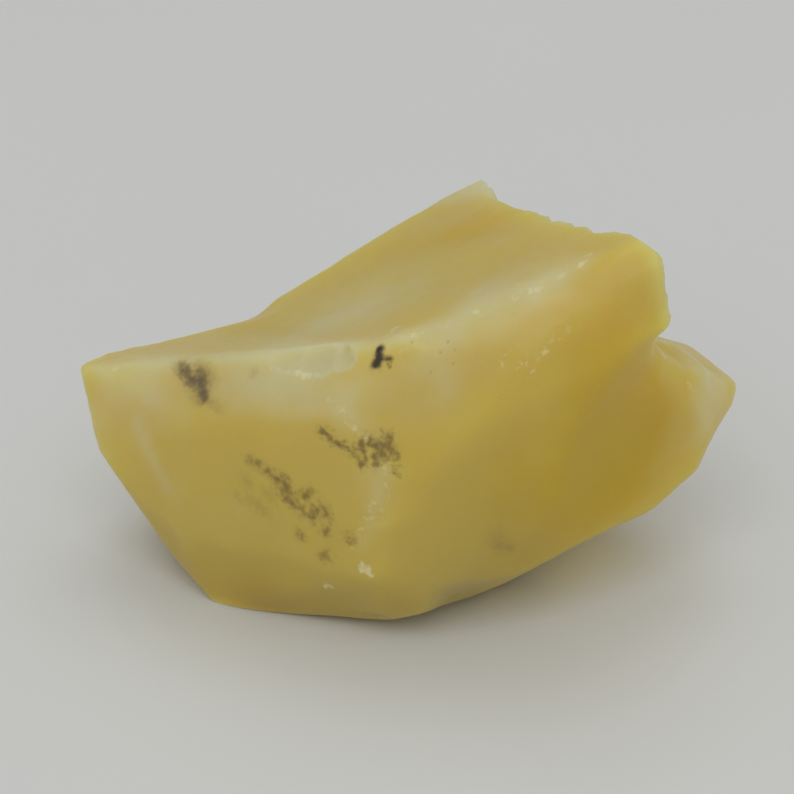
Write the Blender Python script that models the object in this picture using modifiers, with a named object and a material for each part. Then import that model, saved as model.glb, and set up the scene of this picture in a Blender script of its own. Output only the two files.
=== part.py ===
"""Raw yellow opal: one broken piece of waxy, translucent common opal, as it came out of the rock.

The stone is worked out the way it was made: a block of rough is struck on one side after another, and
each strike leaves a plane or a shallow dished (conchoidal) face. Two blocks are joined into the rough,
the strikes are cutters, and a last pass softens the edges a little, because fresh opal breaks waxy.

+Z is up, and the stone rests on its broken foot at Z = 0. +X runs along the long side, towards the
shoulder, and -Y is the broad front. The origin is under the middle of the stone, on the floor.
"""
import math

import bmesh
import bpy
from mathutils import Matrix, Vector

MM = 0.001

# The middle of the finished stone, seen from the datum that every point below is measured from (mm)
MIDDLE = Vector((0.0, -0.9, 0.0))

# The skin: the smallest form that is kept, how far the edges are softened, and the gentle swellings
GRAIN = 0.45 * MM
SOFTENING_PASSES = 8
SOFTENING = 0.5
SWELLING_SPACING = 9.0 * MM
SWELLING_HEIGHT = 0.5 * MM
SWELLING_DETAIL = 2
TRIANGLE_SHARE = 0.12
BALL_SUBDIVISIONS = 6

# The block that stands for the floor when the foot is trimmed flat
FLOOR_WIDTH = 200.0 * MM
FLOOR_DEPTH = 50.0 * MM

# Corners of the rough (mm), from the left tip round to the horn at the back
LEFT_END = {
    "left_tip": (-28.1, -1.6, 18.4),
    "left_back": (-25.6, 5.5, 16.7),
    "left_low": (-26.1, -5.9, 10.9),
    "left_face_top": (-25.2, -4.8, 18.8),
    "left_face_low": (-19.4, -10.6, 6.8),
    "foot_left": (-16.5, -10.3, -0.7),
    "foot_left_back": (-21.8, -3.4, 1.3),
}
KEEL = {
    "foot_front": (-5.3, -11.1, -1.1),
    "keel_front": (-2.0, -16.3, 1.8),
    "keel_middle": (2.6, -17.5, 3.9),
    "keel_right": (7.5, -16.9, 5.9),
}
FRONT = {
    "left_brow": (-18.1, -11.2, 18.7),
    "crest_top": (-5.2, -18.0, 23.0),
    "crest_middle": (-0.9, -20.3, 18.0),
    "crest_low": (-3.1, -19.5, 8.4),
    "front_peak": (-2.0, -16.3, 29.0),
    "front_belly": (4.9, -20.0, 23.4),
    "brow_low": (9.6, -18.5, 29.1),
    "brow": (10.4, -16.1, 33.2),
}
NOSE = {
    "nose_top": (20.9, -16.0, 35.9),
    "nose_side": (21.1, -16.5, 32.5),
    "nose_low": (21.5, -16.9, 29.7),
    "nose_crown": (20.0, -14.2, 38.2),
    "nose_back": (16.0, -8.1, 35.1),
}
BACK = {
    "horn": (6.3, 18.9, 25.9),
    "back_middle": (0.0, 17.0, 10.0),
    "foot_middle": (8.5, -5.0, -1.5),
    "back_foot": (9.5, 11.0, -1.5),
    "back_foot_left": (-12.5, 10.5, -1.5),
    "back_left": (-21.0, 7.0, 5.0),
}
WALL = {
    "wall_low": (15.0, -13.4, 7.9),
    "wall_back": (17.0, 2.0, 6.0),
    "wall_top": (18.0, 1.0, 24.0),
}
SHOULDER = {
    "keel_shoulder": (16.1, -14.3, 8.4),
    "keel_end": (21.5, -11.7, 9.8),
    "right_low": (25.3, -8.6, 12.2),
    "right_tip": (28.1, -2.5, 16.8),
    "right_tip_front": (27.6, -5.1, 16.2),
    "shoulder_front": (25.3, -7.0, 19.0),
    "shoulder_root": (19.1, -14.6, 27.8),
    "shoulder_back": (24.0, 2.6, 17.6),
    "right_back": (20.0, 8.0, 16.0),
    "right_back_low": (16.0, 7.0, 4.0),
}
# Corners that bury the shoulder's inner end in the main block
SHOULDER_ROOTS = {
    "root_front": (0.0, -12.0, 22.0),
    "root_back": (0.0, 6.0, 20.0),
    "root_foot": (-12.0, 0.0, 2.0),
    "root_left": (-8.0, -8.0, 20.0),
    "root_back_foot": BACK["back_foot"],
}

# The two halves of the broken top: a point on each (mm), the way it faces and how far it tips up (deg)
TOP_LEFT = ((-20.0, -4.0, 20.5), -148.0, 68.0)
TOP_RIGHT = ((3.0, -6.0, 28.9), -112.0, 65.0)
TOP_WASTE = 70.0

# Dished strikes: a point on the face (mm), the way it faces and its tilt up (deg), and its radius (mm).
# Facing is measured from the front (-Y) towards the right (+X). The small ones chip the hidden edges.
MAIN_DISHES = {
    "wall_behind_rim": ((10.2, 4.1, 29.5), 111.0, 5.0, 95.0),
}
DISHES = {
    "back_left_bowl": ((-14.5, 4.4, 19.0), -160.0, 10.0, 40.0),
    "front_right_hollow": ((16.8, -13.0, 16.0), 37.0, -9.0, 35.0),
    "back_edge_chip": ((-0.4, 15.4, 13.5), 178.0, 4.0, 9.0),
    "left_back_chip": ((-21.6, 5.4, 7.5), -140.0, -15.0, 9.0),
    "back_foot_chip": ((-5.0, 11.8, 2.0), 176.0, -40.0, 9.0),
    "right_back_chip": ((18.6, 6.6, 11.5), 132.0, -12.0, 8.0),
    "keel_chip": ((17.2, -5.5, 6.6), 60.0, -62.0, 11.0),
}

OPAL_COLOUR = (0.58, 0.45, 0.13, 1.0)
OPAL_ROUGHNESS = 0.38


def clear_scene():
    for thing in list(bpy.data.objects):
        bpy.data.objects.remove(thing, do_unlink=True)


def new_collection(name):
    collection = bpy.data.collections.new(name)
    bpy.context.scene.collection.children.link(collection)
    return collection


def opal_material():
    material = bpy.data.materials.new("yellow_opal")
    material.use_nodes = True
    shader = material.node_tree.nodes["Principled BSDF"]
    shader.inputs["Base Color"].default_value = OPAL_COLOUR
    shader.inputs["Roughness"].default_value = OPAL_ROUGHNESS
    shader.inputs["Metallic"].default_value = 0.0
    return material


def place(point):
    """A point measured from the datum in millimetres, as a world position in metres."""
    return (Vector(point) - MIDDLE) * MM


def outward(facing, tilt):
    """Unit vector of a face that looks `facing` degrees round from the front and tips up by `tilt`."""
    around = math.radians(facing)
    up = math.radians(tilt)
    return Vector((math.sin(around) * math.cos(up), -math.cos(around) * math.cos(up), math.sin(up)))


def add_object(name, shape, collection):
    mesh = bpy.data.meshes.new(name)
    shape.to_mesh(mesh)
    shape.free()
    thing = bpy.data.objects.new(name, mesh)
    collection.objects.link(thing)
    return thing


def block(name, corners, collection):
    """The smallest block without hollows that holds all the corners."""
    shape = bmesh.new()
    for corner in corners:
        shape.verts.new(corner)
    hull = bmesh.ops.convex_hull(shape, input=shape.verts)
    spare = [v for v in hull["geom_interior"] + hull["geom_unused"] if isinstance(v, bmesh.types.BMVert)]
    bmesh.ops.delete(shape, geom=list(set(spare)), context="VERTS")
    bmesh.ops.recalc_face_normals(shape, faces=shape.faces)
    return add_object(name, shape, collection)


def dish(name, strike, collection):
    """A ball whose skin passes through the strike's point, so that it leaves a dished face there."""
    point, facing, tilt, radius = strike
    centre = place(point) + outward(facing, tilt) * radius * MM
    shape = bmesh.new()
    at_centre = Matrix.Translation(centre)
    bmesh.ops.create_icosphere(shape, subdivisions=BALL_SUBDIVISIONS, radius=radius * MM, matrix=at_centre)
    return add_object(name, shape, collection)


def top_waste(collection):
    """The wedge above the two halves of the top, which meet in a shallow valley."""
    left_point, left_facing, left_tilt = TOP_LEFT
    right_point, right_facing, right_tilt = TOP_RIGHT
    left_up = outward(left_facing, left_tilt)
    right_up = outward(right_facing, right_tilt)
    along = left_up.cross(right_up).normalized()
    planes = Matrix((left_up, right_up, along))
    valley = planes.inverted() @ Vector((left_up.dot(place(left_point)), right_up.dot(place(right_point)), 0.0))
    reach = TOP_WASTE * MM
    leftward = left_up.cross(along)
    rightward = right_up.cross(along)
    leftward *= -math.copysign(reach, leftward.x)
    rightward *= math.copysign(reach, rightward.x)
    upward = Vector((0.0, 0.0, 2.0 * reach))
    corners = []
    for foot in (valley - along * reach, valley + along * reach):
        corners += [foot, foot + leftward, foot + rightward, foot + upward]
    return block("top_waste", corners, collection)


def ground(collection):
    """Everything below the floor, cut off last, so that the foot is exactly flat."""
    shape = bmesh.new()
    bmesh.ops.create_cube(shape, size=1.0)
    bmesh.ops.scale(shape, vec=(FLOOR_WIDTH, FLOOR_WIDTH, FLOOR_DEPTH), verts=shape.verts)
    bmesh.ops.translate(shape, vec=(0.0, 0.0, -FLOOR_DEPTH / 2), verts=shape.verts)
    return add_object("ground", shape, collection)


def combine(thing, other, operation):
    modifier = thing.modifiers.new(other.name, "BOOLEAN")
    modifier.operation = operation
    modifier.solver = "EXACT"
    modifier.object = other
    other.hide_render = True
    other.display_type = "WIRE"


def weather(stone):
    """Even out the skin, swell it gently like a natural break, soften the edges and thin the mesh."""
    even = stone.modifiers.new("even_skin", "REMESH")
    even.mode = "VOXEL"
    even.voxel_size = GRAIN
    clouds = bpy.data.textures.new("swellings", "CLOUDS")
    clouds.noise_scale = SWELLING_SPACING
    clouds.noise_depth = SWELLING_DETAIL
    swell = stone.modifiers.new("swell", "DISPLACE")
    swell.texture = clouds
    swell.strength = SWELLING_HEIGHT
    soften = stone.modifiers.new("soften", "SMOOTH")
    soften.factor = SOFTENING
    soften.iterations = SOFTENING_PASSES
    thin = stone.modifiers.new("thin", "DECIMATE")
    thin.ratio = TRIANGLE_SHARE
    thin.use_collapse_triangulate = True


def yellow_opal():
    parts = new_collection("raw_yellow_opal")
    cutters = new_collection("cutters")
    main_corners = {**LEFT_END, **KEEL, **FRONT, **NOSE, **BACK, **WALL}
    shoulder_corners = {**KEEL, **SHOULDER, **SHOULDER_ROOTS}
    stone = block("yellow_opal", [place(p) for p in main_corners.values()], parts)
    stone.data.materials.append(opal_material())
    for name, strike in MAIN_DISHES.items():
        combine(stone, dish(name, strike, cutters), "DIFFERENCE")
    shoulder = block("shoulder", [place(p) for p in shoulder_corners.values()], cutters)
    combine(stone, shoulder, "UNION")
    combine(stone, top_waste(cutters), "DIFFERENCE")
    for name, strike in DISHES.items():
        combine(stone, dish(name, strike, cutters), "DIFFERENCE")
    weather(stone)
    combine(stone, ground(cutters), "DIFFERENCE")
    stone.data.shade_smooth()
    return stone


clear_scene()
yellow_opal()
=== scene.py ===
# %% [markdown]
# # A raw yellow opal
#
# Common yellow opal is silica with water locked in it. It has no crystal faces, so a lump of it breaks like
# thick glass: broad, shallow dishes that meet in ridges, with small chips along the ridges. It is cloudy
# rather than clear. Light sinks a few millimetres in and comes back honey yellow, thin places look paler,
# and hollows look deeper in colour. Dark tree-shaped specks, the dendrites, lie just under the skin.
#
# This lesson dresses a plain solid of the stone: first its fine skin, then its finish, then light and camera.

# %% Load the plain solid
import math

import bmesh
import bpy
import numpy as np
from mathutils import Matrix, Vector, noise


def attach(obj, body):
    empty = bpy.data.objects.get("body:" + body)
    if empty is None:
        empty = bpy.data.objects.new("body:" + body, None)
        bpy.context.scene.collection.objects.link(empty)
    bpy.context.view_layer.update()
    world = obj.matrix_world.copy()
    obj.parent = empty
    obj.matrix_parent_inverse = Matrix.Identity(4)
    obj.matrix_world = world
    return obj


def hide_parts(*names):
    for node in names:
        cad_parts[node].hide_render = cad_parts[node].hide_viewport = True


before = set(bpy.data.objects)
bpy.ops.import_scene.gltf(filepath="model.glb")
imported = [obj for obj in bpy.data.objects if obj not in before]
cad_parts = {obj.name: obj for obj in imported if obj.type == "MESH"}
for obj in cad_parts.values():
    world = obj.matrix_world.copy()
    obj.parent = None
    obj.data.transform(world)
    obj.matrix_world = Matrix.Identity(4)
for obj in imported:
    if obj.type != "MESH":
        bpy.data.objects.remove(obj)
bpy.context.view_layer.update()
MM = 0.001
NODE = "yellow_opal"

# %% [markdown]
# ## The skin
#
# The plain solid has the right faces, but it is made of a few thousand flat triangles. A real break is smooth
# between its edges, with detail of a third of a millimetre. One way is to subdivide the triangles, but their
# uneven sizes would show as facets. So the copy is remeshed into small even squares, and a short smoothing
# melts the old facets while it leaves the ridges where they are.

# %% Remesh a copy of the solid
SKIN_GRAIN = 0.29 * MM
MELT_PASSES = 6
MELT_SHARE = 0.5
SAME_POINT = 0.001 * MM


def settled(thing):
    """The mesh of an object with its modifiers applied."""
    seen = thing.evaluated_get(bpy.context.evaluated_depsgraph_get())
    return bpy.data.meshes.new_from_object(seen)


def joined(mesh):
    """The same mesh with points that lie on each other made one, so that its skin is closed."""
    work = bmesh.new()
    work.from_mesh(mesh)
    bmesh.ops.remove_doubles(work, verts=work.verts, dist=SAME_POINT)
    work.to_mesh(mesh)
    work.free()
    return mesh


solid = bpy.data.objects[NODE]
opal = bpy.data.objects.new("opal_stone", joined(solid.data.copy()))
bpy.context.scene.collection.objects.link(opal)
even = opal.modifiers.new("even_skin", "REMESH")
even.mode = "VOXEL"
even.voxel_size = SKIN_GRAIN
melt = opal.modifiers.new("melt_facets", "SMOOTH")
melt.factor = MELT_SHARE
melt.iterations = MELT_PASSES
fine = settled(opal)
opal.modifiers.clear()
opal.data = fine
print("fine skin:", len(fine.vertices), "points,", len(fine.polygons), "squares")

# %% [markdown]
# ## Working the skin as an array
#
# The chips and ripples are many, and each moves only the points near it. Python loops over ninety thousand
# points would be slow, so the points go into one array, in millimetres, and each tool moves all of them at
# once. To know a ridge from a hollow, a point is compared with the soft average of the points round it.

# %% Points, edges and soft averages
skin = np.empty((len(fine.vertices), 3))
fine.vertices.foreach_get("co", skin.ravel())
skin /= MM
edges = np.empty((len(fine.edges), 2), dtype=np.int64)
fine.edges.foreach_get("vertices", edges.ravel())
ends_a = np.concatenate((edges[:, 0], edges[:, 1]))
ends_b = np.concatenate((edges[:, 1], edges[:, 0]))
neighbours = np.maximum(np.bincount(ends_a, minlength=len(skin)), 1)
print("edges on the skin:", len(edges))


def averaged(values, passes):
    """Values on the skin after blending each half and half with its neighbours, `passes` times."""
    values = values.copy()
    for _ in range(passes):
        columns = values.reshape(len(values), -1)
        around = np.stack([np.bincount(ends_a, c[ends_b], len(values)) for c in columns.T], 1)
        around /= neighbours[:, None]
        values += 0.5 * (around.reshape(values.shape) - values)
    return values


def skin_normals():
    """The way each point of the skin faces."""
    fine.vertices.foreach_set("co", (skin * MM).ravel())
    fine.update()
    normals = np.empty((len(skin), 3))
    fine.vertex_normals.foreach_get("vector", normals.ravel())
    return normals


def near_to(place, radius):
    """1 at a place, and falling softly to nothing about two radii away."""
    far = np.linalg.norm(skin - np.array(place), axis=1)
    return np.exp(-((far / radius) ** 2))


def bulging(passes):
    """How far each point stands out from the soft average round it, in mm."""
    return np.einsum("ij,ij->i", skin - averaged(skin, passes), normals)


# %% [markdown]
# ## Mellow and crisp ridges
#
# Where the stone knocked against others its ridges are rounded, and where it broke late they are keen. A
# Bevel rounds every edge alike, so here each rounded place is a ball in which the skin is averaged many
# times. The other ridges are pushed out by a share of what they stand out already, which sharpens them.

# %% Mellow places
MELLOW_PASSES = 170
# Each place is x, y, z and a radius, in mm.
MELLOW_PLACES = [
    (19.0, -15.2, 27.2, 2.4), (17.8, -15.2, 25.8, 3.5), (15.4, -16.0, 23.5, 4.0), (13.5, -16.2, 19.9, 4.5),
    (12.8, -15.6, 15.7, 4.5), (13.3, -14.3, 11.1, 4.0), (20.6, -11.9, 24.7, 2.5), (21.6, -10.8, 22.6, 2.5),
    (22.6, -9.8, 20.8, 2.2), (-3.0, -18.3, 10.6, 2.5), (-0.5, -18.3, 10.6, 3.0), (-0.8, -16.8, 26.0, 3.0),
    (-0.6, -17.8, 23.6, 3.0), (-0.8, -18.8, 20.5, 3.0), (-1.6, -19.0, 16.0, 3.0), (2.5, -15.4, 30.1, 3.0),
    (7.3, -15.1, 32.2, 3.5), (12.0, -14.7, 34.3, 3.0), (19.8, -12.6, 24.8, 2.2),
]


def soften(places, passes):
    """Melt the skin round each place, and give back how much every point was melted."""
    share = np.zeros(len(skin))
    for x, y, z, radius in places:
        share = np.maximum(share, near_to((x, y, z), radius))
    skin[:] = skin + share[:, None] * (averaged(skin, passes) - skin)
    return share


mellow = soften(MELLOW_PLACES, MELLOW_PASSES)
normals = skin_normals()
print("points melted by half or more:", int((mellow > 0.5).sum()))

# %% Crisp ridges
NARROW_PASSES = 14
BROAD_PASSES = 40
RIDGE_SHARPENING = 0.9
SHARPENING_LIMIT = 0.25
keen = np.clip(bulging(NARROW_PASSES), 0.0, SHARPENING_LIMIT) * (1.0 - mellow)
skin = skin + (RIDGE_SHARPENING * averaged(keen, 1))[:, None] * normals
normals = skin_normals()
bulge = bulging(BROAD_PASSES)
print("ridges stand", round(float(bulge.max()), 2), "mm, hollows sink", round(float(-bulge.min()), 2), "mm")

# %% [markdown]
# ## Ripples of the break
#
# The crack that made the broken top ran as a wave, and left soft ripples round the place where it began.
# They are only a tenth of a millimetre high, so they show as bands in the shine and not in the outline.
# A texture could fake them, but moving the points keeps them in the shape and on the outline too.

# %% Soft masks
def step(values, low, high):
    """0 below `low`, 1 above `high`, and an easy curve between."""
    share = np.clip((values - low) / (high - low), 0.0, 1.0)
    return share * share * (3.0 - 2.0 * share)


FOOT_BAND = 0.8
FOOT_FADE = 1.5
RIDGE_BULGE = 0.12
FLAT_BULGE = 0.04
FACES_UP = (0.75, 0.88)
FACES_BACK = (0.35, 0.7)
clear_of_foot = step(skin[:, 2], FOOT_BAND, FOOT_BAND + FOOT_FADE)
away_from_ridges = step(-np.abs(bulge), -RIDGE_BULGE, -FLAT_BULGE)
on_top = step(normals[:, 2], *FACES_UP) * away_from_ridges
behind = step(normals[:, 1], *FACES_BACK) * away_from_ridges * clear_of_foot
print("share of the skin on top:", round(float(on_top.mean()), 2))
print("share of the skin behind:", round(float(behind.mean()), 2))

# %% Rings round the start of a crack
WANDER = 1.6
# Each set is the start of the crack, the spacing of its rings, their height and where they show.
RIPPLES = [((6.0, 52.0, 30.0), 8.5, 0.05, on_top), ((-18.0, 14.0, 26.0), 3.4, 0.07, behind)]


def drift(fineness, octaves=2):
    """Soft noise about zero on the skin, `fineness` blobs to the millimetre."""
    return np.array([noise.fractal(Vector(p) * fineness, 1.0, 2.0, octaves) for p in skin])


def ripple(start, spacing, height, mask):
    """Rings of `height` mm, `spacing` mm apart, round the point where a crack began."""
    far = np.linalg.norm(skin - np.array(start), axis=1) + WANDER * wander
    return (height * np.sin(far * (2 * math.pi / spacing)) * mask)[:, None] * normals


wander = drift(0.10)
for start, spacing, height, mask in RIPPLES:
    skin = skin + ripple(start, spacing, height, mask)
print("sets of rings:", len(RIPPLES))

# %% [markdown]
# ## Uneven faces
#
# Between the ripples the faces still swell and sink by a hair, which makes their shine break up. A bump in
# the finish would give the shine alone, so two soft noises move the points along the way they face: broad,
# low swells and finer, lower ones. The top broke more evenly, so it gets less of both.

# %% Swells
BROAD_SWELL = 0.08
FINE_SWELL = 0.025
CALM_TOP = 0.5
swell = drift(0.20) * BROAD_SWELL + drift(0.75, 3) * FINE_SWELL
skin = skin + (swell * clear_of_foot * (1.0 - CALM_TOP * on_top))[:, None] * normals
print("uneven faces, mm:", round(float(swell.min()), 2), "to", round(float(swell.max()), 2))

# %% [markdown]
# ## Strikes
#
# Each knock on a ridge takes off a flake and leaves a shallow dish with a crisp rim. A Boolean with a ball
# makes the same dish, but more than a hundred and fifty of them would take minutes. Here every point inside
# the ball is pushed out to the ball's skin, which leaves the same hollow at once. A wide ball that bites a
# little takes a flat flake off a ridge, and a small ball leaves a nick. What was bitten is remembered as a
# fresh break, so that the finish can make it paler.

# %% Finding a way and a place
def facing(around, up):
    """The way that looks `around` degrees from the front towards the right, and `up` degrees upwards."""
    around, up = math.radians(around), math.radians(up)
    return np.array((math.sin(around) * math.cos(up), -math.cos(around) * math.cos(up), math.sin(up)))


def nearest(place):
    """The number of the skin point nearest to a place."""
    return int(np.argmin(np.linalg.norm(skin - np.array(place), axis=1)))


print("straight to the right is", facing(90, 0).round(2))

# %% A flake of a given width
LEAST_BITE = 0.015
DISH_EDGE = 0.6
fresh_break = np.zeros(len(skin))


def flake(middle, away, width, depth, freshness):
    """Take off a flake `width` mm across and `depth` mm deep, with a ball that comes in from `away`.

    What comes back is the mask of the points that were bitten.
    """
    radius = (width * width / 4 + depth * depth) / (2 * depth)
    middle = np.array(middle, float)
    centre = middle + away * (radius - depth)
    offset = skin - centre
    reach = np.sqrt(np.einsum("ij,ij->i", offset, offset))
    local = step(-np.linalg.norm(skin - middle, axis=1), -width, -DISH_EDGE * width) * clear_of_foot
    push = np.maximum(radius - reach, 0.0) * local
    skin[:] = skin + offset * (push / reach)[:, None]
    bitten = push > LEAST_BITE
    fresh_break[bitten] = np.maximum(fresh_break[bitten], freshness)
    return bitten


# %% [markdown]
# ## Worn ridges
#
# An opal chips wherever two faces meet sharply. The ridges are where the skin bulges out from its own soft
# average, so flakes are sown there at random, from a fixed seed, and turned to look out. Most are wide and
# flat, which is how a ridge of glass wears, and the rest are small nicks. The long edges of the top and of
# the two ends broke clean and stayed smooth, so nothing is sown near them, nor on the front, where each knock
# is given one by one.

# %% Ridges that stay smooth
QUIET_REACH = 4.0
FACES_FRONT = -0.35
FRONT_LOWEST = 5.0
SOWN_LOWEST = 1.5
# Each edge is a chain of places along it.
QUIET_EDGES = [
    [(-27.0, -3.0, 19.0), (-20.0, -7.0, 20.5), (-9.0, -13.5, 24.0), (-2.0, -15.5, 27.5), (6.0, -15.0, 31.0),
     (14.0, -14.0, 35.0), (18.5, -12.0, 36.5)],
    [(3.0, 15.0, 27.0), (10.8, 3.1, 30.5), (15.5, -7.5, 34.6), (18.0, -11.7, 36.4), (20.3, -15.0, 34.8),
     (21.0, -15.7, 31.0), (20.0, -15.0, 27.0)],
    [(24.5, 0.3, 18.5), (27.6, -2.2, 16.7), (25.8, -6.4, 13.5), (22.0, -8.3, 10.0), (17.2, -11.0, 8.3),
     (10.2, -14.8, 6.5), (3.2, -16.0, 3.6)],
    [(-26.8, -4.0, 18.0), (-25.7, -4.8, 10.4), (-23.0, -3.5, 4.5), (-20.5, -4.0, 1.0)],
    [(-27.0, -3.0, 19.0), (-14.0, 4.0, 20.0), (-5.0, 9.5, 22.8), (-0.5, 13.0, 24.0), (5.0, 15.5, 27.5)],
]


# A dot is a line of no length, and this keeps it from dividing by nothing.
LEAST_LENGTH = 1e-9


def to_line(start, end):
    """How far each point of the skin is from a straight line between two places."""
    start, end = np.array(start, float), np.array(end, float)
    along = end - start
    share = np.clip((skin - start) @ along / max(float(along @ along), LEAST_LENGTH), 0.0, 1.0)
    return np.linalg.norm(skin - start - share[:, None] * along, axis=1)


quiet = np.full(len(skin), False)
for edge in QUIET_EDGES:
    for start, end in zip(edge, edge[1:]):
        quiet |= to_line(start, end) < QUIET_REACH
quiet |= (normals[:, 1] < FACES_FRONT) & (skin[:, 2] > FRONT_LOWEST)
ridge_points = np.flatnonzero((bulge > RIDGE_BULGE) & (skin[:, 2] > SOWN_LOWEST) & ~quiet)
print("ridge points where flakes may fall:", len(ridge_points))

# %% Sow flakes and nicks along the other ridges
chance = np.random.default_rng(11)
RIDGE_FLAKES = 90
RIDGE_NICKS = 50


def tilted(way, spread):
    """A way turned a little at random."""
    turned = way + chance.normal(0.0, spread, 3)
    return turned / np.linalg.norm(turned)


def sow(count, widths, depth_shares, spread, freshness):
    """Take off flakes at random ridge points. A depth is a share of its flake's width."""
    for index in chance.choice(ridge_points, count, replace=False):
        width = chance.uniform(*widths)
        away = tilted(normals[index], spread)
        flake(skin[index], away, width, width * chance.uniform(*depth_shares), freshness)


sow(RIDGE_FLAKES, widths=(1.2, 4.2), depth_shares=(0.012, 0.032), spread=0.25, freshness=0.35)
sow(RIDGE_NICKS, widths=(0.5, 1.3), depth_shares=(0.08, 0.15), spread=0.45, freshness=0.8)
print("points in flakes:", int((fresh_break > 0).sum()))

# %% [markdown]
# ## The knocks that stand out
#
# Some knocks can be picked out one by one. The front ridge has a long lens-shaped ledge, which three flakes
# in a row make. The ends and corners lost larger pieces, which are cut off flat: a plane is laid a little
# under the skin and what stands beyond it is pressed back. Edges that are still too keen are melted again.
# Each knock gets its own place, width and depth in millimetres.

# %% The ledge
LEDGE_FACES = facing(-38, 60)
# Each flake is x, y, z, its width and its depth.
LEDGE = [(-10.3, -12.0, 24.4, 3.0, 0.26), (-8.2, -13.0, 25.0, 3.4, 0.32), (-5.9, -14.3, 25.9, 2.2, 0.18)]
ledge = np.zeros(len(skin))
for x, y, z, width, depth in LEDGE:
    ledge[flake((x, y, z), LEDGE_FACES, width, depth, 0.0)] = 1.0
print("points in the ledge:", int(ledge.sum()))

# %% Flats
FLAT_EDGE = 0.5


def planed(middle, away, depth, reach):
    """Cut flat what stands beyond a plane `depth` mm under a place, out to `reach` mm from it."""
    middle = np.array(middle, float)
    proud = np.maximum((skin - middle) @ away + depth, 0.0)
    local = step(-np.linalg.norm(skin - middle, axis=1), -reach, -FLAT_EDGE * reach)
    skin[:] = skin - (proud * local)[:, None] * away
    print("flat at", middle, "cuts up to", round(float((proud * local).max()), 2), "mm")


# Two under the left tip, two on the upper right corner, two by the horn, one low in front, one at the back,
# and last a wide flake off the right end.
planed((-23.7, -4.0, 6.0), facing(-71, -29), depth=0.66, reach=13.0)
planed((-20.7, -3.5, 1.0), facing(-66, -35), depth=0.46, reach=12.0)
planed((19.0, -13.8, 36.6), facing(124, 44), depth=0.08, reach=3.5)
planed((21.1, -15.7, 30.4), facing(100, -17), depth=0.25, reach=3.5)
planed((8.2, 9.4, 28.5), facing(129, 47), depth=0.25, reach=6.0)
planed((4.0, 17.0, 25.8), facing(-140, 45), depth=0.35, reach=4.0)
planed((6.6, -15.6, 5.6), facing(15, -45), depth=0.15, reach=6.0)
planed((-14.8, 3.2, 20.2), facing(-150, 60), depth=0.28, reach=4.5)
flake((26.2, -5.9, 14.4), facing(74, -26), width=7.0, depth=0.46, freshness=0.0)

# %% Edges melted again
REMELT_PASSES = 40
# Each place is x, y, z and a radius: the corners, the right end, the crest, the brow and the left face's top.
REMELTED = [
    (26.2, -5.9, 14.4, 4.5), (-23.7, -4.0, 6.0, 5.0), (-20.7, -3.5, 2.5, 3.0), (5.0, -15.9, 5.8, 4.0),
    (-12.4, 3.8, 20.7, 2.5), (19.8, -12.2, 24.6, 2.4), (21.6, -9.8, 23.6, 2.4), (23.0, -8.4, 22.0, 2.5),
    (1.7, -19.2, 19.5, 2.6), (3.6, -19.1, 21.9, 2.6), (5.4, -18.9, 23.7, 2.4), (2.6, -15.2, 30.1, 2.0),
    (5.6, -14.8, 31.5, 2.2), (8.6, -14.8, 32.9, 2.4), (11.6, -14.5, 34.2, 2.2), (-16.0, -11.4, 19.1, 2.2),
    (-13.5, -12.8, 19.4, 2.4), (-11.0, -14.1, 20.0, 2.4), (-8.5, -15.4, 20.7, 2.2),
]
remelted = soften(REMELTED, REMELT_PASSES)
print("points melted again by half or more:", int((remelted > 0.5).sum()))

# %% [markdown]
# ## The far rim and the bruises
#
# The far rim of the top swells a little and carries small steps, and the right half of the front ridge was
# bruised into a scatter of bright flecks. A noise would scatter flecks at once, but not where a blow fell, so
# each fleck is a small dish of its own, and its freshness says how bright it is.

# %% The far rim
RIM_FACES = facing(180, 60)
# Each swelling is x, y, z, its radius and its height.
RIM_SWELLS = [(-5.6, 8.6, 22.8, 3.5, 0.30), (-2.8, 10.6, 23.5, 3.5, 0.35), (0.0, 13.0, 24.3, 3.0, 0.30)]
for x, y, z, radius, height in RIM_SWELLS:
    skin = skin + (height * near_to((x, y, z), radius))[:, None] * RIM_FACES
STEPS_FACE = facing(150, 40)
STEP_FRESHNESS = 0.2
# Each step is x, y, z, its width and its depth.
RIM_STEPS = [(11.9, -0.9, 32.0, 2.0, 0.15), (14.0, -4.9, 33.5, 2.2, 0.18), (15.6, -8.2, 34.8, 3.2, 0.24)]
for x, y, z, width, depth in RIM_STEPS:
    flake((x, y, z), STEPS_FACE, width, depth, STEP_FRESHNESS)
print("swellings:", len(RIM_SWELLS), "steps:", len(RIM_STEPS))

# %% Bruises
BRUISE_DEPTH_SHARE = 0.08
BRUISE_TURN = np.array((0.0, -0.2, 0.35))
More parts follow.
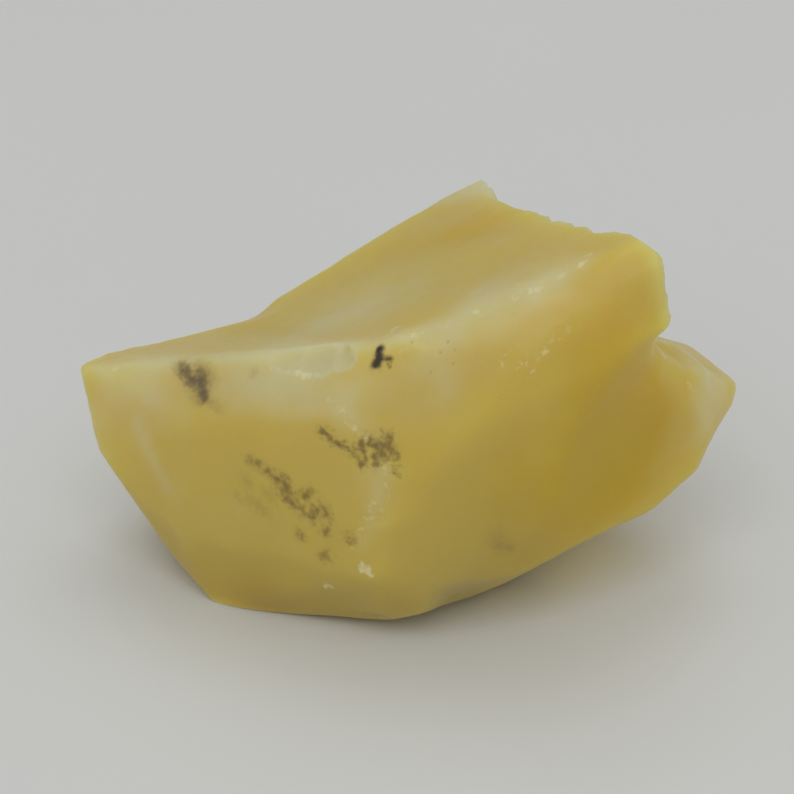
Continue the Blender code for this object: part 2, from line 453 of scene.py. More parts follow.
# Each bruise is x, y, z, its width and its freshness.
BRUISES = [
    (-1.1, -12.6, 28.4, 0.8, 0.9), (-1.6, -13.2, 28.3, 0.7, 0.9), (0.4, -15.3, 29.4, 1.1, 0.9),
    (-0.4, -16.0, 28.3, 0.9, 0.8), (5.1, -9.1, 30.3, 0.8, 0.8), (6.1, -12.1, 31.4, 0.7, 0.8),
    (8.5, -13.0, 32.6, 0.7, 0.8), (9.4, -15.0, 33.1, 0.7, 1.3), (10.1, -14.9, 33.4, 0.6, 1.3),
    (8.1, -15.0, 32.6, 0.7, 0.9), (11.9, -14.1, 34.3, 0.6, 1.1), (13.2, -13.9, 34.9, 0.7, 1.2),
    (14.3, -12.6, 35.1, 0.7, 0.8), (5.0, -14.8, 31.3, 0.7, 0.9), (7.1, -17.8, 27.5, 0.8, 0.8),
    (9.7, -17.8, 27.7, 0.6, 0.8), (11.0, -17.6, 28.5, 0.7, 0.8), (7.1, -18.5, 25.5, 0.5, 0.8),
    (5.0, -18.3, 25.5, 0.6, 0.8), (-8.6, -13.6, 24.3, 0.9, 1.2), (-24.9, -3.2, 19.3, 1.0, 0.9),
    (-3.9, -18.1, 8.2, 1.1, 1.3), (-3.4, -18.1, 7.7, 0.7, 1.1), (-6.7, -15.5, 5.0, 1.0, 0.9),
]
for x, y, z, width, freshness in BRUISES:
    point = nearest((x, y, z))
    up_front = normals[point] + BRUISE_TURN
    up_front /= np.linalg.norm(up_front)
    flake(skin[point], up_front, width, BRUISE_DEPTH_SHARE * width, freshness)
print("bruises:", len(BRUISES))

# %% [markdown]
# ## Torn lines
#
# Where the crack changed its path it left fine torn lines, called hackles. The long ridge above the front,
# the brow, and the blunt upright ridge in the middle of it, the crest, are bruised along their length. Each
# line is a narrow groove: points near it sink a little and count as freshly broken. A bump in the finish
# could draw such lines too, but it would leave them out of the shape. Scuffs are faint grooves of the same
# kind, where a knock has only powdered the skin.

# %% Grooves along a line
def groove(line, width, depth, freshness):
    """Sink the skin along a chain of places, and count it as freshly broken by `freshness`."""
    for start, end in zip(line, line[1:]):
        near = step(-to_line(start, end), -width, 0.0)
        skin[:] = skin - (near * depth)[:, None] * normals
        np.maximum(fresh_break, near * freshness, out=fresh_break)


HACKLES = [
    ((12.0, -17.0, 30.7), (10.1, -17.7, 28.0)), ((11.1, -17.5, 29.0), (8.9, -18.2, 26.0)),
    ((10.0, -17.4, 29.4), (8.5, -18.0, 27.2)), ((8.4, -17.3, 29.3), (7.3, -17.7, 28.0)),
    ((13.2, -16.7, 31.3), (12.0, -17.3, 29.3)),
]
for hackle in HACKLES:
    groove(hackle, width=0.45, depth=0.06, freshness=0.75)
CRACK = [(1.9, -16.8, 27.4), (1.9, -18.0, 24.6)]
groove(CRACK, width=0.4, depth=0.05, freshness=0.0)
print("hackles:", len(HACKLES))

# %% The ledge's lip, the brow and the crest
LIP = [(-11.3, -11.6, 23.9), (-8.9, -13.2, 24.4)]
LIP_END = [(-9.3, -12.9, 24.4), (-7.4, -14.0, 24.8)]
BROW = [(-1.5, -14.6, 28.3), (2.5, -15.2, 30.1), (7.3, -14.8, 32.2), (12.0, -14.4, 34.3), (15.0, -13.0, 35.3)]
CREST = [
    (-4.0, -17.7, 21.4), (-1.8, -18.8, 20.0), (-2.1, -18.9, 17.7), (-1.7, -19.0, 15.8), (-2.5, -18.6, 13.9),
    (-3.7, -18.1, 13.6),
]
groove(LIP, width=0.55, depth=0.02, freshness=1.1)
groove(LIP_END, width=0.50, depth=0.02, freshness=1.5)
groove(BROW, width=2.2, depth=0.0, freshness=0.42)
groove(CREST, width=0.7, depth=0.10, freshness=0.7)
print("fresh points so far:", int((fresh_break > 0).sum()))

# %% Scuffs
SCUFF_DEPTH = 0.03
# Each scuff is its start, its end, its width and its freshness.
SCUFFS = [
    ((-6.6, -15.7, 23.7), (-5.2, -17.0, 23.0), 0.8, 0.75),
    ((-5.2, -17.0, 23.0), (-4.6, -17.5, 21.5), 0.8, 0.80),
    ((-4.8, -17.3, 21.9), (-3.2, -18.2, 20.9), 0.9, 0.85),
    ((-2.8, -18.5, 15.6), (-4.0, -17.9, 12.3), 1.0, 0.70),
    ((-4.0, -17.9, 12.3), (-4.9, -17.5, 10.1), 0.8, 0.65),
    ((8.2, -15.0, 32.6), (10.5, -14.8, 33.6), 0.9, 0.90),
    ((10.6, -14.6, 33.8), (12.2, -14.2, 34.4), 0.7, 0.75),
    ((12.4, -14.3, 34.5), (13.8, -13.5, 35.1), 0.9, 0.85),
    ((5.0, -14.9, 31.2), (7.4, -15.0, 32.2), 0.8, 0.65),
    ((0.0, -15.0, 29.2), (2.6, -15.2, 30.2), 0.8, 0.60),
    ((22.6, -9.5, 21.6), (23.6, -8.5, 20.0), 0.8, 0.85),
]
for start, end, width, freshness in SCUFFS:
    groove([start, end], width, SCUFF_DEPTH, freshness)
print("scuffs:", len(SCUFFS))

# %% [markdown]
# ## Back to the mesh
#
# The worked points go back into the mesh once. The finish can't see the array, so what it needs to know, such
# as how far a point stands out or how freshly it broke, is kept on the mesh as one number for each point.

# %% Put the worked points back
RIDGE_RANGE = 0.3
skin = averaged(skin, 1)
normals = skin_normals()
fine.shade_smooth()


def paint(name, values):
    """Keep a number for each point of the skin, where the finish can read it."""
    layer = fine.attributes.new(name, "FLOAT", "POINT")
    layer.data.foreach_set("value", np.asarray(values, dtype=np.float32))


paint("ridge", np.clip(averaged(bulge, 2) / RIDGE_RANGE, -1.0, 1.0))
paint("fresh", averaged(fresh_break, 1))
print("numbers kept on the mesh:", [layer.name for layer in fine.attributes if layer.domain == "POINT"])

# %% [markdown]
# ## Where the colour runs deep or pale
#
# The stone isn't one colour. Cream shows where it is thin or bruised, and amber where it is thick or hollow.
# A noise alone would put them anywhere, so these soft patches are listed as balls of influence, and the
# ridges as lines of influence. What they add up to is the tint: above zero it turns the stone pale, and below
# zero it turns it deep.

# %% Pale and deep patches
# Each patch is x, y, z, its radius and its strength.
PATCHES = [
    (-21.5, -6.0, 20.0, 4.0, 0.32), (-15.5, -9.8, 21.6, 4.2, 0.24), (-9.5, -13.6, 23.6, 3.6, 0.32),
    (-5.0, -16.0, 24.6, 3.0, 0.10), (8.5, -15.3, 32.2, 3.6, 0.12), (3.5, -15.6, 29.8, 3.0, 0.25),
    (6.0, 15.0, 26.6, 3.2, 0.20), (-20.0, 0.0, 20.0, 6.0, 0.02), (-6.0, -7.0, 24.6, 7.0, 0.20),
    (24.5, -4.5, 20.0, 3.5, 0.32), (25.0, -7.0, 17.0, 3.5, 0.34), (21.2, -11.0, 22.9, 2.0, 0.26),
    (5.6, 4.6, 28.4, 6.0, -0.45),
    (17.4, -12.4, 17.4, 6.5, -0.80), (16.5, -15.5, 27.0, 5.5, -0.55), (15.0, -13.5, 12.5, 6.0, -0.55),
    (7.0, -17.5, 16.0, 5.5, -0.25), (-12.0, -12.5, 3.0, 4.0, -0.30), (-3.0, -18.4, 17.0, 2.5, 0.20),
    (-17.0, -10.5, 8.0, 6.0, 0.10), (3.0, -16.5, 6.5, 4.0, 0.15),
    (20.4, -15.3, 32.2, 3.0, 0.42), (-25.5, -3.5, 17.0, 3.5, 0.20), (-1.0, -4.0, 26.5, 7.0, 0.15),
    (17.0, -13.4, 21.4, 4.0, -0.55), (19.6, -12.2, 21.0, 3.5, -0.35), (13.0, -14.4, 34.8, 3.5, 0.16),
    (2.4, -17.5, 25.2, 3.5, 0.22), (24.0, -9.2, 14.5, 3.0, 0.20), (-13.1, -11.4, 22.4, 3.0, 0.20),
    (5.4, -12.2, 30.8, 3.0, 0.22), (9.2, -11.8, 32.4, 3.0, 0.12), (12.4, -12.2, 34.0, 2.4, 0.12),
    (9.0, -17.0, 29.5, 4.5, 0.12),
    (-5.8, -16.5, 23.2, 1.6, 0.10), (-3.8, -17.7, 22.0, 1.6, 0.12), (-0.8, -19.2, 18.0, 1.8, -0.15),
]
tint = np.zeros(len(skin))
for x, y, z, radius, strength in PATCHES:
    tint += strength * near_to((x, y, z), radius)
print("patches:", len(PATCHES))

# %% Pale and deep lines
# Each line is its start, its end, its width and its strength.
LINES = [
    ((-25.1, -0.9, 18.7), (-12.1, -9.8, 24.4), 0.9, 0.06),
    ((-12.1, -9.8, 24.4), (-3.3, -13.6, 27.7), 0.9, 0.15),
    ((-22.7, -6.9, 15.8), (-20.2, -9.0, 10.7), 0.8, 0.18),
    ((-1.7, -19.0, 18.7), (-3.9, -18.0, 10.9), 1.0, 0.20),
    ((19.8, -14.6, 28.0), (23.2, -9.0, 19.9), 1.6, 0.18),
    ((7.0, -14.9, 32.0), (10.8, -14.6, 33.8), 1.7, 0.18),
    ((12.2, -14.3, 34.4), (14.0, -13.3, 35.2), 1.4, 0.20),
    ((-1.5, -14.6, 28.3), (3.5, -15.2, 30.4), 1.1, 0.20),
    # The last two lines, of negative strength, are painted shade: they deepen the colour along two bands
    # where the light falls brighter.
    ((0.4, -19.2, 18.0), (6.0, -18.8, 24.0), 1.8, -0.16),
    ((-17.0, -11.0, 18.9), (-7.5, -15.9, 21.0), 1.4, -0.12),
]
for start, end, width, strength in LINES:
    tint += strength * np.exp(-((to_line(start, end) / width) ** 2))
print("lines:", len(LINES))

# %% Painted light on the horn and the ledge
TINT_PASSES = 3
HORN_START = np.array((3.6, 13.0, 26.0))
HORN_WAY = np.array((0.81, 0.587, 0.0))
HORN_FADE = (-1.2, 1.6)
HORN_BACK = (3.0, 6.0)
HORN_TOP = (0.6, 0.8)
HORN_PAINTED_GLOW = 0.24
LEDGE_PAINTED_LIGHT = 0.24
PAINTED_GLEAM = 0.60
PAINTED_GLEAM_PLACE = (-9.2, -12.8, 24.5)
PAINTED_GLEAM_RADIUS = 2.8
horn = step((skin - HORN_START) @ HORN_WAY, *HORN_FADE) * step(skin[:, 1], *HORN_BACK)
# Painted light: the horn's upward faces are painted paler, for the glow of the thin horn.
tint += HORN_PAINTED_GLOW * horn * step(normals[:, 2], *HORN_TOP)
# Painted light and a painted highlight: the ledge is painted paler, and palest at its lower edge.
painted_ledge_light = averaged(ledge, 1) * (LEDGE_PAINTED_LIGHT + PAINTED_GLEAM * near_to(PAINTED_GLEAM_PLACE, PAINTED_GLEAM_RADIUS))
paint("tint", averaged(tint, TINT_PASSES) + painted_ledge_light)
print("tint runs from", round(float(tint.min()), 2), "to", round(float(tint.max()), 2))

# %% [markdown]
# ## Painted shade
#
# Low down and on the faces that look down, the stone lies in shade, and the subsurface light of the finish
# shows this only in part. So a second number, the painted shade, makes the colour darker and browner towards
# the foot and on those faces, with a few balls of painted shade besides. The amber hollow on the right stays
# clear of it.

# %% Painted shade
PAINTED_SHADE_PASSES = 12
FOOT_PAINTED_SHADE = 0.45
FOOT_PAINTED_SHADE_TOP = 16.0
UNDER_PAINTED_SHADE = 0.25
FACES_DOWN = (-0.02, 0.45)
CLEAR_PLACE = (17.6, -12.8, 20.8)
CLEAR_RADIUS = 5.0
CLEAR_SHARE = 0.9
# Each ball is x, y, z, its radius and its strength.
PAINTED_SHADE_PLACES = [
    (8.0, -16.5, 9.0, 6.5, 0.32), (18.6, -14.8, 34.4, 4.0, 0.30), (20.9, -15.2, 32.3, 2.4, 0.40),
    (-17.0, -8.4, 22.0, 5.5, 0.12), (-12.4, -11.9, 1.2, 2.6, 0.30),
]
# Painted shade: darker towards the foot and on the faces that look down.
low_down = step(-skin[:, 2], -FOOT_PAINTED_SHADE_TOP, 1.0)
painted_shade = low_down * FOOT_PAINTED_SHADE + step(-normals[:, 2], *FACES_DOWN) * UNDER_PAINTED_SHADE
for x, y, z, radius, strength in PAINTED_SHADE_PLACES:
    painted_shade += strength * near_to((x, y, z), radius)
painted_shade *= 1.0 - CLEAR_SHARE * near_to(CLEAR_PLACE, CLEAR_RADIUS)
paint("painted_shade", averaged(painted_shade, PAINTED_SHADE_PASSES))
print("dusk runs from", round(float(painted_shade.min()), 2), "to", round(float(painted_shade.max()), 2))

# %% [markdown]
# ## Dendrites
#
# Iron and manganese crept along hairline cracks and grew dark, tree-like specks. Some lie on the skin and are
# crisp and black, others lie deeper and look brown and blurred. Each one is a few short strokes, and every
# point of the skin keeps its distance to the nearest stroke. A distance runs smoothly from point to point, so
# the finish can draw a sharp edge from it, and break that edge up with noise. A painted picture would also
# do, but it would blur from near by and need a map of the skin.

# %% The black bud and its rusty dots
# Each stroke is a chain of dots, and each dot is x, y, z and half the stroke's width there, in mm.
DENDRITES = {
    "black_bud": [
        [(-2.4, -15.4, 27.9, 0.16), (-2.4, -15.7, 27.4, 0.42), (-2.7, -16.0, 26.7, 0.28)],
    ],
    "rusty_bud": [
        [(-2.3, -15.3, 28.0, 0.18), (-2.4, -15.4, 27.9, 0.20)],
        [(-2.2, -15.8, 27.4, 0.05), (-1.8, -15.9, 27.3, 0.20)],
        [(-1.8, -15.9, 27.3, 0.24), (-1.5, -16.0, 27.3, 0.16)],
        [(-1.7, -16.1, 26.9, 0.10), (-1.6, -16.3, 26.7, 0.12)],
    ],
    # The grey streak in the middle of the black bud is a painted highlight.
    "bud_glint": [
        [(-2.2, -15.5, 27.7, 0.07), (-2.2, -15.8, 27.4, 0.10)],
    ],
}
print("strokes in the buds:", sum(len(strokes) for strokes in DENDRITES.values()))

# %% The sunken fern and the shade round it
DENDRITES["sunken_fern"] = [
    [(-18.9, -6.9, 21.5, 0.20), (-18.6, -7.5, 21.3, 0.24), (-18.1, -8.1, 21.0, 0.26)],
    [(-18.3, -7.3, 21.6, 0.10), (-17.9, -7.8, 21.5, 0.26)],
    [(-18.1, -8.1, 21.0, 0.30), (-17.5, -8.6, 21.0, 0.50)],
    [(-17.4, -8.3, 21.5, 0.34), (-17.2, -8.8, 21.2, 0.54), (-17.0, -9.3, 20.8, 0.50)],
    [(-17.0, -9.3, 20.8, 0.48), (-16.9, -10.0, 20.3, 0.34)],
]
DENDRITES["fern_shade"] = [
    [(-18.9, -6.8, 21.6, 0.4), (-18.1, -8.1, 21.0, 0.5), (-17.2, -9.8, 20.2, 0.4)],
    [(-17.5, -7.9, 22.0, 0.5), (-16.8, -8.7, 21.7, 0.4)],
    [(-16.4, -8.4, 22.0, 0.3), (-16.1, -9.2, 21.4, 0.3)],
    [(7.4, -16.6, 10.0, 0.2), (8.3, -16.4, 9.5, 0.1)],
    [(-16.3, -10.6, 20.2, 0.1), (-15.7, -11.2, 20.0, 0.1)],
    [(-5.4, -13.9, 27.2, 0.05)],
    [(-12.8, -10.9, 23.2, 0.05)],
]
print("strokes in fern_shade:", len(DENDRITES["fern_shade"]))

# %% The speckled fern
DENDRITES["speckled_fern"] = [
    [(-7.0, -16.2, 20.8, 0.28), (-6.7, -16.4, 20.4, 0.30)],
    [(-6.4, -16.6, 20.2, 0.12), (-5.5, -17.1, 19.8, 0.16), (-4.6, -17.6, 19.7, 0.26)],
    [(-4.0, -17.8, 20.4, 0.20), (-3.5, -18.2, 19.3, 0.20)],
    [(-3.3, -18.1, 20.6, 0.25), (-2.4, -18.5, 20.3, 0.50), (-1.7, -18.7, 20.4, 0.40)],
    [(-1.7, -18.4, 21.3, 0.32), (-1.5, -18.6, 20.7, 0.25), (-1.4, -18.8, 19.9, 0.30)],
    [(-2.5, -18.7, 19.1, 0.26)],
    [(-3.8, -18.0, 18.7, 0.15)],
    [(-1.1, -19.2, 18.7, 0.12)],
    [(-3.0, -18.4, 19.5, 0.30), (-2.1, -18.7, 19.7, 0.25)],
]
print("strokes in speckled_fern:", len(DENDRITES["speckled_fern"]))

# %% The broken fern
DENDRITES["broken_fern"] = [
    [(-13.0, -13.1, 16.2, 0.12), (-12.3, -13.5, 15.7, 0.20)],
    [(-11.8, -13.8, 15.5, 0.12), (-11.3, -14.0, 15.4, 0.20)],
    [(-10.8, -14.3, 14.9, 0.35), (-10.3, -14.6, 14.8, 0.45), (-10.0, -14.7, 14.2, 0.35)],
    [(-10.1, -14.7, 13.5, 0.30), (-9.6, -15.0, 13.2, 0.30)],
    [(-9.1, -15.2, 14.1, 0.15)],
    [(-8.5, -15.5, 14.0, 0.18), (-8.2, -15.7, 14.7, 0.26)],
    [(-9.0, -15.3, 12.8, 0.10), (-8.6, -15.5, 12.4, 0.14)],
    [(-8.0, -15.8, 12.1, 0.14), (-7.8, -15.9, 13.0, 0.18), (-7.3, -16.2, 13.5, 0.26)],
    [(-7.3, -16.2, 13.5, 0.26), (-6.9, -16.4, 13.2, 0.18), (-6.7, -16.5, 12.6, 0.12)],
    [(-6.9, -16.4, 11.6, 0.18), (-6.8, -16.4, 11.2, 0.15)],
    [(-8.9, -15.3, 10.2, 0.18)],
    [(-6.9, -16.4, 8.9, 0.28)],
    [(-4.9, -17.4, 11.2, 0.20)],
]
print("strokes in broken_fern:", len(DENDRITES["broken_fern"]))

# %% Haze and pepper
DENDRITES["haze"] = [
    [(-12.8, -13.2, 12.1, 0.5), (-12.2, -13.5, 11.7, 0.5)],
    [(-14.2, -12.4, 12.1, 0.2)],
    [(-13.5, -12.8, 13.8, 0.4)],
    [(-11.5, -13.9, 13.3, 0.6)],
    [(7.1, -16.7, 10.8, 0.45), (7.6, -16.5, 10.3, 0.5), (8.2, -16.4, 9.8, 0.35)],
]
DENDRITES["pepper"] = [
    [(3.0, -16.4, 29.0, 0.10)],
    [(2.5, -16.6, 28.3, 0.08)],
    [(3.5, -16.7, 28.6, 0.07)],
    [(3.4, -17.1, 27.6, 0.08)],
    [(1.7, -17.1, 26.7, 0.08)],
    [(0.2, -15.8, 29.0, 0.07)],
]
print("strokes in pepper:", len(DENDRITES["pepper"]))

# %% [markdown]
# ## Ferns for the back and the ends
#
# The other sides carry a few dendrites too. Drawing each stroke by hand would take long, so these are grown:
# a main stroke takes short steps, bends a little at each, and throws a twig to one side or the other, from
# a fixed seed, so that they come out the same each time.

# %% Grow ferns at random
FERN_STEP = 0.6
FERN_BEND = 0.35
STEM_RADIUS = 0.30
LEAST_RADIUS = 0.04
TWIG_LENGTHS = (0.5, 1.6)
TWIG_ROOT = 0.6
TWIG_TIP = 0.4
# Each seed is a start, a way and a length.
FERN_SEEDS = [
    ((-3.5, 14.6, 14.5), (0.5, 0.1, -0.8), 6.0), ((-18.0, 6.5, 9.0), (0.7, 0.5, 0.5), 4.0),
    ((19.5, 0.5, 14.0), (-0.3, 0.4, -0.8), 4.5), ((9.5, 13.5, 17.0), (-0.2, 0.0, 1.0), 3.0),
]
fern_chance = np.random.default_rng(23)


def grown_fern(start, way, length):
    """A bent main stroke with twigs on both sides, thinning towards its end."""
    twigs = []
    here = np.array(start, float)
    way = np.array(way, float)
    steps = int(length / FERN_STEP)
    for number in range(steps):
        way = way + fern_chance.normal(0.0, FERN_BEND, 3)
        way /= np.linalg.norm(way)
        after = here + FERN_STEP * way
        wide = STEM_RADIUS * (1.0 - number / steps) + LEAST_RADIUS
        twigs.append([(*here, wide), (*after, wide)])
        side = way + fern_chance.normal(0.0, 1.0, 3)
        twig_end = here + side / np.linalg.norm(side) * fern_chance.uniform(*TWIG_LENGTHS)
        twigs.append([(*here, wide * TWIG_ROOT), (*twig_end, wide * TWIG_TIP)])
        here = after
    return twigs


DENDRITES["grown_fern"] = [twig for seed in FERN_SEEDS for twig in grown_fern(*seed)]
print("strokes in the grown ferns:", len(DENDRITES["grown_fern"]))

# %% How far each point is from the strokes
FAR_AWAY = 3.0


def stroke_field(strokes):
    """The distance from each point of the skin to the nearest edge of the strokes, in mm."""
    field = np.full(len(skin), FAR_AWAY)
    for stroke in strokes:
        dots = [(skin[nearest(dot[:3])], dot[3]) for dot in stroke]
        for (start, wide_a), (end, wide_b) in zip(dots, dots[1:] or dots):
            field = np.minimum(field, to_line(start, end) - (wide_a + wide_b) / 2)
    return field


for name, strokes in DENDRITES.items():
    field = stroke_field(strokes)
    paint(name, field)
    print(name, "covers", int((field < 0).sum()), "points")

# %% [markdown]
# ## A way to write a finish
#
# Blender's materials are graphs of nodes. Building one by hand takes a line for each node and each link, so
# the helpers below let a finish be written as sums: a Wire is a value on its way through the graph, and
# adding or multiplying two wires adds the Math node for it. A Finish is one material, and its `node` method
# adds any other node.

# %% Wires
class Wire:
    """A value on its way through a finish."""

    def __init__(self, finish, socket):
        self.finish = finish
        self.socket = socket

    def other(self, name):
        """Another output of the same node."""
        return Wire(self.finish, self.socket.node.outputs[name])

    def __add__(self, other):
        return self.finish.math("ADD", self, other)

    def __sub__(self, other):
        return self.finish.math("SUBTRACT", self, other)

    def __rsub__(self, other):
        return self.finish.math("SUBTRACT", other, self)

    def __mul__(self, other):
        return self.finish.math("MULTIPLY", self, other)

    __radd__ = __add__
    __rmul__ = __mul__


# %% Finishes
class Finish:
    """One material, written as expressions on wires."""

    def __init__(self, name):
        self.material = bpy.data.materials.new(name)
        self.material.use_nodes = True
        self.tree = self.material.node_tree
        self.tree.nodes.clear()

    def node(self, kind, settings, sockets):
        """Add a node, set it up, then give each socket its value or its wire. The first output comes back."""
        made = self.tree.nodes.new(kind)
        for name, value in settings.items():
            setattr(made, name, value)
        for name, value in sockets.items():
            if isinstance(value, Wire):
                self.tree.links.new(value.socket, made.inputs[name])
            else:
                made.inputs[name].default_value = value
        outputs = [socket for socket in made.outputs if socket.enabled]
        return Wire(self, outputs[0]) if outputs else None

    def math(self, operation, *values):
        """Add a Math node."""
        return self.node("ShaderNodeMath", {"operation": operation}, dict(enumerate(values)))

    def soft_step(self, value, low, high):
        """0 below `low`, 1 above `high`, and an easy curve between. `low` above `high` turns it round."""
        settings = {"interpolation_type": "SMOOTHSTEP"}
        sockets = {"Value": value, "From Min": min(low, high), "From Max": max(low, high)}
        ends = {"To Min": 1.0, "To Max": 0.0} if low > high else {"To Min": 0.0, "To Max": 1.0}
        return self.node("ShaderNodeMapRange", settings, {**sockets, **ends})

    def mix(self, share, first, second):
        """Blend two colours."""
        return self.node("ShaderNodeMix", {"data_type": "RGBA"}, {"Factor": share, 6: first, 7: second})

    def attribute(self, name):
        """A number kept on the mesh."""
        return self.node("ShaderNodeAttribute", {"attribute_name": name}, {}).other("Fac")

    def place(self):
        """Where each point is on the object, in metres."""
        return self.node("ShaderNodeTexCoord", {}, {}).other("Object")

    def cloud(self, place, scale, detail, roughness=0.5):
        """Soft noise about 0.5, with `scale` blobs to the unit of `place`."""
        sockets = {"Vector": place, "Scale": scale, "Detail": detail, "Roughness": roughness}
        return self.node("ShaderNodeTexNoise", {}, sockets)


# %% [markdown]
# ## The opal finish
#
# Opal of this kind is a cloudy glass. Its colour comes from how deep the light has gone: pale cream at thin
# edges and fresh chips, honey yellow on the faces, amber in the hollows. One way would be a real volume, but
# that is slow and grainy. Subsurface scattering gives the same soft glow from the surface alone, and the
# colour under it is mixed from clouds, from how far the skin bulges, and from the patches above.

# %% Clouds in the stone
stone = Finish("opal_finish")
place = stone.node("ShaderNodeVectorMath", {"operation": "SCALE"}, {0: stone.place(), "Scale": 1.0 / MM})
broad = stone.cloud(place, 0.08, 2.0)
small = stone.cloud(place, 0.5, 4.0)
fray = stone.cloud(place, 2.4, 3.0) + stone.cloud(place, 1.7, 1.5) - 1.0
print("nodes for the clouds:", len(stone.tree.nodes))

# %% Tones of the stone
CREAM = (0.68, 0.63, 0.36, 1.0)
HONEY = (0.66, 0.51, 0.10, 1.0)
AMBER = (0.63, 0.43, 0.015, 1.0)
BRUISE = (0.80, 0.76, 0.50, 1.0)
PAINTED_SHADE_TONE = (0.42, 0.31, 0.07, 1.0)
RIDGE_PALENESS = 0.26
BROAD_CLOUDS = 0.50
SMALL_CLOUDS = 0.22
BRUISE_FRAY = 1.4
BRUISE_STRENGTH = 0.7
clouds = (broad - 0.5) * BROAD_CLOUDS + (small - 0.5) * SMALL_CLOUDS
paleness = stone.attribute("tint") + stone.attribute("ridge") * RIDGE_PALENESS + clouds
tone = stone.mix(stone.soft_step(paleness, -0.75, 0.05), AMBER, HONEY)
tone = stone.mix(stone.soft_step(paleness, 0.0, 0.65), tone, CREAM)
# Painted shade: the tone turns darker and browner towards the foot and underneath.
tone = stone.mix(stone.attribute("painted_shade"), tone, PAINTED_SHADE_TONE)
bruised = stone.soft_step(stone.attribute("fresh") + fray * BRUISE_FRAY, 0.45, 1.35)
tone = stone.mix(bruised * BRUISE_STRENGTH, tone, BRUISE)
print("nodes with the tones:", len(stone.tree.nodes))

# %% [markdown]
# ## Laying the marks over the tones
#
# A dendrite in cloudy stone is dark in the middle and fades into a brown haze round it. So most marks are
# laid on twice, first wide, soft and brown, then narrow and dark. The distance to the strokes is frayed by
# noise before it is turned into a share of the dark tone, which breaks a smooth stroke into specks.

# %% Dark marks
def marked(tone, name, colour, softness, raggedness, strength):
    """Lay a dendrite over a tone. Softness and raggedness are in mm."""
    share = stone.soft_step(stone.attribute(name) + fray * raggedness, softness, -softness)
    return stone.mix(share * strength, tone, (*colour, 1.0))


# Each layer is a name, a colour, its softness, its raggedness and its strength. Later ones lie on top.
MARKS = [
    ("haze", (0.40, 0.28, 0.06), 0.9, 1.2, 0.45),
    ("grown_fern", (0.28, 0.19, 0.06), 0.90, 0.9, 0.50),
    ("grown_fern", (0.14, 0.09, 0.03), 0.40, 1.4, 0.62),
    ("fern_shade", (0.32, 0.23, 0.08), 0.90, 0.7, 0.55),
    ("sunken_fern", (0.22, 0.17, 0.09), 0.90, 0.6, 0.55),
    ("sunken_fern", (0.10, 0.08, 0.06), 0.60, 0.7, 0.66),
    ("broken_fern", (0.26, 0.16, 0.04), 0.95, 1.0, 0.55),
    ("broken_fern", (0.20, 0.12, 0.03), 0.55, 1.2, 0.60),
    ("speckled_fern", (0.24, 0.16, 0.05), 0.85, 1.1, 0.48),
    ("speckled_fern", (0.15, 0.09, 0.025), 0.50, 1.6, 0.60),
    ("pepper", (0.24, 0.15, 0.05), 0.16, 0.1, 0.42),
    ("black_bud", (0.22, 0.15, 0.05), 0.50, 0.5, 0.60),
    ("rusty_bud", (0.09, 0.05, 0.008), 0.24, 0.20, 0.86),
    ("black_bud", (0.022, 0.018, 0.014), 0.20, 0.30, 0.93),
    # The last layer is a painted highlight on the black bud.
    ("bud_glint", (0.20, 0.19, 0.16), 0.12, 0.2, 0.55),
]
for name, colour, softness, raggedness, strength in MARKS:
    tone = marked(tone, name, colour, softness, raggedness, strength)
print("layers of dark marks:", len(MARKS))

# %% [markdown]
# ## Gloss, grain and glow
#
# A fresh break in opal shines like wax, and a bruise is duller. The shine varies in soft clouds, and a bump
# of a few hundredths of a millimetre gives the grain that the points are too coarse for. A mirror finish
# would look wet. Red light travels farthest in the stone and blue least, so the three radii differ, and that
# keeps the thick parts amber.

# %% Gloss and grain
LEAST_ROUGHNESS = 0.26
GLOSS_CLOUDS = 0.20
BRUISE_DULLNESS = 0.15
roughness = stone.cloud(place, 0.6, 3.0) * GLOSS_CLOUDS + LEAST_ROUGHNESS + bruised * BRUISE_DULLNESS
grain = stone.cloud(place, 3.5, 4.0, 0.6)
bump = stone.node("ShaderNodeBump", {}, {"Height": grain, "Strength": 0.15, "Distance": 0.05 * MM})
most_rough = LEAST_ROUGHNESS + GLOSS_CLOUDS + BRUISE_DULLNESS
print("roughness runs from", LEAST_ROUGHNESS, "to", round(most_rough, 2))

# %% Glow, and the finished material
GLOW_DEPTH = 12 * MM
sockets = {
    "Base Color": tone,
    "Roughness": roughness,
    "Normal": bump,
    "IOR": 1.45,
    "Subsurface Weight": 1.0,
    "Subsurface Radius": (1.0, 0.70, 0.22),
    "Subsurface Scale": GLOW_DEPTH,
}
shader = stone.node("ShaderNodeBsdfPrincipled", {"subsurface_method": "RANDOM_WALK"}, sockets)
stone.node("ShaderNodeOutputMaterial", {}, {"Surface": shader})
fine.materials.clear()
fine.materials.append(stone.material)
print("opal finish nodes:", len(stone.tree.nodes))

# %% [markdown]
# ## One stone for one solid
#
# The dressed stone takes the place of the plain solid, which stays hidden for the collisions. It rides on the
# only body there is.

# %% Stand for the solid
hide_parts(NODE)
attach(opal, "root")
print(opal.name, "stands for", NODE)

# %% [markdown]
# ## The table
#
# The stone rests on a pale table that runs out of view on every side. One flat face is enough, and a trace of
# unevenness in its tone keeps it from looking like paper.

# %% A pale floor
FLOOR_SIDE = 3000 * MM
half = FLOOR_SIDE / 2
corners = [(-half, -half, 0.0), (half, -half, 0.0), (half, half, 0.0), (-half, half, 0.0)]
floor_mesh = bpy.data.meshes.new("pale_floor")
floor_mesh.from_pydata(corners, [], [(0, 1, 2, 3)])
floor = bpy.data.objects.new("pale_floor", floor_mesh)
bpy.context.scene.collection.objects.link(floor)
print("floor side, m:", FLOOR_SIDE)

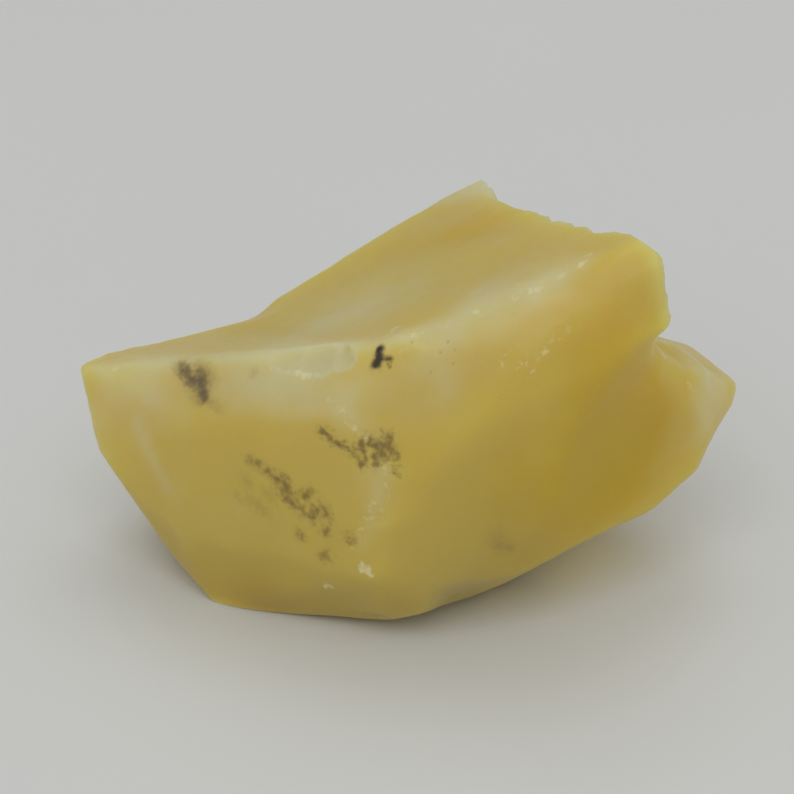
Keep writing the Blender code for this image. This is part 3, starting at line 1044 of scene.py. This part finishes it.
# %% The floor's finish
FLOOR_GREY = (0.79, 0.80, 0.79, 1.0)
FLOOR_WHITE = (0.83, 0.84, 0.83, 1.0)
table = Finish("table_finish")
floor_tone = table.mix(table.cloud(table.place(), 14.0, 3.0), FLOOR_GREY, FLOOR_WHITE)
cover = table.node("ShaderNodeBsdfPrincipled", {}, {"Base Color": floor_tone, "Roughness": 0.6})
table.node("ShaderNodeOutputMaterial", {}, {"Surface": cover})
floor_mesh.materials.append(table.material)
print("floor finish nodes:", len(table.tree.nodes))

# %% [markdown]
# ## Light
#
# The stone stands in a soft light tent: white cloth all round, and the lamps above it. So the surroundings
# shine evenly, and two wide lamps, one over the stone from behind and one from the front, give its shine and
# the soft shade under it. Light that has gone through the stone also reaches the table and warms the shade.
# The renderer leaves that light out, so three tiny amber lamps under the overhang stand for it.

# %% The tent
TENT_WHITE = (0.99, 0.972, 0.925, 1.0)
TENT_STRENGTH = 0.425
world = bpy.data.worlds.new("tent")
bpy.context.scene.world = world
world.use_nodes = True
surround = world.node_tree.nodes["Background"]
surround.inputs["Color"].default_value = TENT_WHITE
surround.inputs["Strength"].default_value = TENT_STRENGTH
bpy.context.scene.view_settings.view_transform = "Standard"
print("tent strength:", TENT_STRENGTH)


# %% Lamps above the stone
def lamp(name, place, aim, width, power, colour):
    """A round lamp that looks at a place. Places and width are in metres."""
    data = bpy.data.lights.new(name, "AREA")
    data.shape = "DISK"
    data.size = width
    data.energy = power
    data.color = colour
    made = bpy.data.objects.new(name, data)
    made.location = place
    made.rotation_euler = (Vector(aim) - made.location).to_track_quat("-Z", "Y").to_euler()
    bpy.context.scene.collection.objects.link(made)
    print(name, "shines with", power, "watts")


COOL_WHITE = (0.96, 1.0, 1.06)
MIDDLE = (0.0, 0.0, 0.01)
lamp("over_lamp", (0.05, 0.28, 0.78), MIDDLE, width=0.5, power=0.72, colour=COOL_WHITE)
lamp("front_lamp", (-0.10, -0.80, 0.95), MIDDLE, width=1.0, power=3.8, colour=COOL_WHITE)

# %% Light that comes through the stone
THROUGH_LIGHT = (1.0, 0.70, 0.03)
# Each lamp is its name, its place, its aim, its width and its power.
THROUGH_LAMPS = [
    ("through_lamp_right", (0.0165, -0.0020, 0.0046), (0.0185, -0.0025, 0.0), 0.006, 1.6e-5),
    ("through_lamp_middle", (0.0120, -0.0065, 0.0030), (0.0135, -0.0075, 0.0), 0.005, 1.2e-5),
    ("through_lamp_left", (0.0080, -0.0100, 0.0017), (0.0085, -0.0110, 0.0), 0.006, 0.25e-5),
]
for name, spot, aim, width, power in THROUGH_LAMPS:
    lamp(name, spot, aim, width, power, THROUGH_LIGHT)

# %% [markdown]
# ## Camera
#
# A short lens close by would make the near end of the stone look too large. A long lens from 38 centimetres
# away, looking thirty degrees down, keeps its proportions.

# %% The camera
LOOK_DOWN = 30.0
CAMERA_PLACE = Vector((-1.0, -322.6, 200.8)) * MM
LENS = 198.4
SENSOR_WIDTH = 36.0
NEAREST_SEEN = 0.01
FARTHEST_SEEN = 10.0
camera_data = bpy.data.cameras.new("camera")
camera_data.lens = LENS
camera_data.sensor_width = SENSOR_WIDTH
camera_data.clip_start = NEAREST_SEEN
camera_data.clip_end = FARTHEST_SEEN
camera = bpy.data.objects.new("camera", camera_data)
camera.location = CAMERA_PLACE
camera.rotation_euler = (math.radians(90.0 - LOOK_DOWN), 0.0, 0.0)
bpy.context.scene.collection.objects.link(camera)
bpy.context.scene.camera = camera
print("camera to the stone, mm:", round((CAMERA_PLACE - Vector(MIDDLE)).length / MM))
